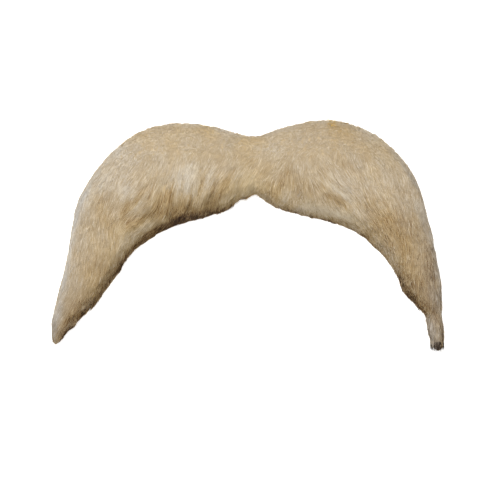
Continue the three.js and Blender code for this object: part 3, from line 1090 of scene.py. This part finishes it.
    def end_hairs(self, surface, rng, settings):
        """Hairs that stand out of the end of a tip, with the same values as the combed ones."""
        start = np.array([
            (rng.uniform(*row.across), rng.uniform(*row.down), rng.uniform(2, 6))
            for row in END_HAIRS for _ in range(row.hairs)
        ]) * MM
        hairs = [row.hairs for row in END_HAIRS]
        length = np.repeat([row.length for row in END_HAIRS], hairs) * MM
        tone = np.repeat([row.tone for row in END_HAIRS], hairs)
        root, normal = surface.snap(start)
        root += normal * self.END_LIFT
        count = len(root)
        turn = rng.normal(0, 0.08, count)
        droop = -0.1 - 0.05 * root[:, 2] / MM
        course = np.stack([turn, np.full(count, -1.0), droop], 1)
        reach = course * (length * rng.uniform(0.8, 1.1, count))[:, None]
        stray = rng.normal(0, 0.1 * MM, (count, 3))
        paths = np.stack([root, root + reach / 2, root + reach + stray], 1)
        paths[:, :, 2] = np.maximum(paths[:, :, 2], FLOOR_GAP)
        normals = np.repeat(normal[:, None], 3, 1)
        tones = np.repeat((tone + rng.normal(0, 0.06, count))[:, None], 3, 1)
        widths = settings.hair_width * rng.uniform(0.6, 1.0, count)
        return paths, normals, widths, tones, np.full(count, self.END_WARMTH)


class MOUSTACHE_OT_cloth(bpy.types.Operator):
    """Make the knitted ground cloth that the pile grows from"""

    bl_idname = "moustache.cloth"
    bl_label = "Ground cloth"

    CUT_DISTANCE = 0.0001 * MM

    def execute(self, context):
        settings = context.scene.moustache_back
        form = merged_copy("backing_cloth")
        low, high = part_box("backing_cloth")
        for axis in (0, 1):
            for place in np.arange(low[axis] + settings.cloth_grid / 2, high[axis], settings.cloth_grid):
                point, normal = Vector((0, 0, 0)), Vector((0, 0, 0))
                point[axis], normal[axis] = place, 1
                everything = form.verts[:] + form.edges[:] + form.faces[:]
                bmesh.ops.bisect_plane(
                    form, geom=everything, dist=self.CUT_DISTANCE, plane_co=point, plane_no=normal
                )
        area = sum(face.calc_area() for face in form.faces if face.normal.z < -0.5)
        piece = object_from("ground_cloth", form)
        dress(piece, cloth_finish(settings.stitch), "ground_cloth", "backing_cloth")
        return {"FINISHED"}


class MOUSTACHE_OT_threads(bpy.types.Operator):
    """Fray yellow ground threads out of the cut upper edge"""

    bl_idname = "moustache.threads"
    bl_label = "Cut edge threads"

    # How deep a thread's root lies, how much of its lift the tip keeps, and the tone added along it
    ROOT_DEPTH = 0.3 * MM
    TIP_LIFT = 0.8
    STATION_TONE = (-0.2, 0, 0.1)

    def execute(self, context):
        settings = context.scene.moustache_back
        rng = np.random.default_rng(settings.thread_seed)
        surface = Surface(guide_form())
        roots, tones = [], []
        for row in FRAYS:
            start, end = line_ends(row)
            for _ in range(row.threads):
                flat = start + (end - start) * rng.random() + rng.normal(0, 0.3 * MM, 2)
                height = (row.height + rng.uniform(-1, 1)) * MM
                roots.append((*flat, height))
                tones.append(row.tone + rng.normal(0, 0.12))
        root, root_normal = surface.snap(np.array(roots))
        count = len(root)
        along = laid(root_normal, rng.normal(0, 1.0, count))
        reach = along * rng.uniform(0.8, 1.9, count)[:, None] * MM
        stray = rng.normal(0, 0.2 * MM, (count, 3))
        mid, mid_normal = surface.snap(root + reach / 2)
        tip, tip_normal = surface.snap(root + reach + stray)
        normals = np.stack([root_normal, mid_normal, tip_normal], 1)
        stand = np.repeat([row.lift for row in FRAYS], [row.threads for row in FRAYS]) * MM
        lifts = np.stack([np.full(count, -self.ROOT_DEPTH), stand, self.TIP_LIFT * stand], 1)
        paths = np.stack([root, mid, tip], 1) + normals * lifts[:, :, None]
        tones = np.array(tones)[:, None] + np.array(self.STATION_TONE)
        widths = settings.thread * rng.uniform(0.7, 1.2, count)
        mesh = strand_mesh("edge_threads", paths, normals, widths, tones, rng.uniform(0, 1, count))
        dress(mesh_object("edge_threads", mesh), thread_finish(), "ground_cloth")
        return {"FINISHED"}


class MOUSTACHE_OT_tape(bpy.types.Operator):
    """Make the double-sided tape across the middle of the back"""

    bl_idname = "moustache.tape"
    bl_label = "Adhesive tape"

    CORNER_SEGMENTS = 8
    RIM_SEGMENTS = 2

    def execute(self, context):
        settings = context.scene.moustache_back
        low, high = (Vector(corner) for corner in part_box("adhesive_tape"))
        size = high - low
        form = bmesh.new()
        bmesh.ops.create_cube(form, size=1.0)
        bmesh.ops.scale(form, vec=size, verts=form.verts)
        bmesh.ops.translate(form, vec=(low + high) / 2, verts=form.verts)
        posts = [edge for edge in form.edges if self.rise(edge) > size.z / 2]
        soften(form, posts, settings.tape_corner, self.CORNER_SEGMENTS)
        rims = [edge for edge in form.edges if self.rise(edge) < size.z / 2]
        soften(form, rims, settings.tape_rim, self.RIM_SEGMENTS)
        piece = object_from("lip_tape", form)
        dress(piece, tape_finish(settings.liner), "tape_liner", "adhesive_tape")
        return {"FINISHED"}

    def rise(self, edge):
        return abs(edge.verts[0].co.z - edge.verts[1].co.z)


class MOUSTACHE_OT_stage(bpy.types.Operator):
    """Lay a pale floor, set soft light and place the camera straight above"""

    bl_idname = "moustache.stage"
    bl_label = "Stage"

    FLOOR_SIZE = 2.0
    FLOOR_COLOUR = (0.92, 0.92, 0.92, 1)
    FLOOR_GLOW = 0.5
    KEY_PLACE = (-0.25, 0.35, 1.2)
    KEY_AIM = (0, -0.03, 0)
    KEY_SIZE = 1.2
    SENSOR = 36

    def execute(self, context):
        settings = context.scene.moustache_stage
        self.make_floor()
        self.make_light(context.scene, settings)
        self.make_camera(context.scene, settings)
        return {"FINISHED"}

    def make_floor(self):
        form = bmesh.new()
        bmesh.ops.create_grid(form, x_segments=1, y_segments=1, size=self.FLOOR_SIZE)
        floor = object_from("floor", form)
        pale = self.FLOOR_COLOUR
        finish = Finish("light_table", roughness=0.9, base_color=pale)
        finish.feed(emission_color=pale, emission_strength=self.FLOOR_GLOW)
        floor.data.materials.append(finish.material)

    def make_light(self, scene, settings):
        world = bpy.data.worlds.new("studio")
        world.use_nodes = True
        background = world.node_tree.nodes["Background"]
        background.inputs["Strength"].default_value = settings.ambient
        background.inputs["Color"].default_value = (1, 1, 1, 1)
        scene.world = world
        lamp = bpy.data.lights.new("key", "AREA")
        lamp.shape = "DISK"
        lamp.size = self.KEY_SIZE
        lamp.energy = settings.key
        key = bpy.data.objects.new("key", lamp)
        key.location = self.KEY_PLACE
        key.rotation_euler = (Vector(self.KEY_AIM) - key.location).to_track_quat("-Z", "Y").to_euler()
        scene.collection.objects.link(key)
        scene.view_settings.view_transform = "Standard"

    def make_camera(self, scene, settings):
        lens = bpy.data.cameras.new("camera")
        lens.lens = settings.lens
        lens.sensor_width = self.SENSOR
        camera = bpy.data.objects.new("camera", lens)
        across = FRAME_PX / 2 - ORIGIN_PX[0]
        down = FRAME_PX / 2 - ORIGIN_PX[1]
        distance = FRAME_PX * PIXEL * settings.lens / lens.sensor_width
        camera.location = (across * PIXEL, -down * PIXEL, settings.aim_height + distance)
        scene.collection.objects.link(camera)
        scene.camera = camera


class MOUSTACHE_PT_panel(bpy.types.Panel):
    """The moustache's pieces and their sizes"""

    bl_idname = "MOUSTACHE_PT_panel"
    bl_label = "Moustache"
    bl_space_type = "VIEW_3D"
    bl_region_type = "UI"
    bl_category = "Moustache"

    def draw(self, context):
        for group_name, group in SETTINGS.items():
            for name in group.__annotations__:
                self.layout.prop(getattr(context.scene, group_name), name)
        for operator in OPERATORS:
            self.layout.operator(operator.bl_idname)


SETTINGS = {
    "moustache_pile": PileSettings,
    "moustache_back": BackSettings,
    "moustache_stage": StageSettings,
}
OPERATORS = (
    MOUSTACHE_OT_pile,
    MOUSTACHE_OT_cloth,
    MOUSTACHE_OT_threads,
    MOUSTACHE_OT_tape,
    MOUSTACHE_OT_stage,
)


def register():
    for name, group in SETTINGS.items():
        bpy.utils.register_class(group)
        setattr(bpy.types.Scene, name, bpy.props.PointerProperty(type=group))
    for operator in OPERATORS:
        bpy.utils.register_class(operator)
    bpy.utils.register_class(MOUSTACHE_PT_panel)


def unregister():
    bpy.utils.unregister_class(MOUSTACHE_PT_panel)
    for operator in reversed(OPERATORS):
        bpy.utils.unregister_class(operator)
    for name, group in SETTINGS.items():
        delattr(bpy.types.Scene, name)
        bpy.utils.unregister_class(group)


def main():
    register()
    bpy.ops.moustache.pile()
    bpy.ops.moustache.cloth()
    bpy.ops.moustache.threads()
    bpy.ops.moustache.tape()
    bpy.ops.moustache.stage()


if __name__ == "__main__":
    main()
